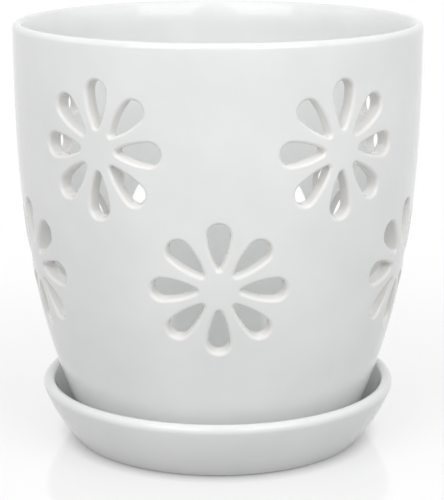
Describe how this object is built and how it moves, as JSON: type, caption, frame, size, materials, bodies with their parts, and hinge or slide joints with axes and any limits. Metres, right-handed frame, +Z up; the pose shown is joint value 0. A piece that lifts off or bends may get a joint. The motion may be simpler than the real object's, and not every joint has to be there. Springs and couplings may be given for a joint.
{
  "type": "orchid pot",
  "caption": "Round bowed orchid pot with flower-shaped ventilation slots through its wall, a drain hole and a foot ring, standing loose in a flared drip saucer.",
  "frame": {"origin": "middle of the saucer's underside, level with the base ring that it stands on", "axes": "+Z up the common axis of pot and saucer, front at -Y towards the middle flower of the lower row"},
  "size_m": [0.16, 0.16, 0.1673],
  "materials": {
    "saucer_glaze": "white high-gloss glaze",
    "pot_glaze": "white high-gloss glaze"
  },
  "bodies": {
    "saucer": {"saucer": "saucer_glaze"},
    "pot": {"pot": "pot_glaze"}
  },
  "joints": [
    {"name": "pot_lift", "type": "slide", "parent": "saucer", "child": "pot", "axis": [0, 0, 1], "range_m": [0, 0.06]}
  ]
}
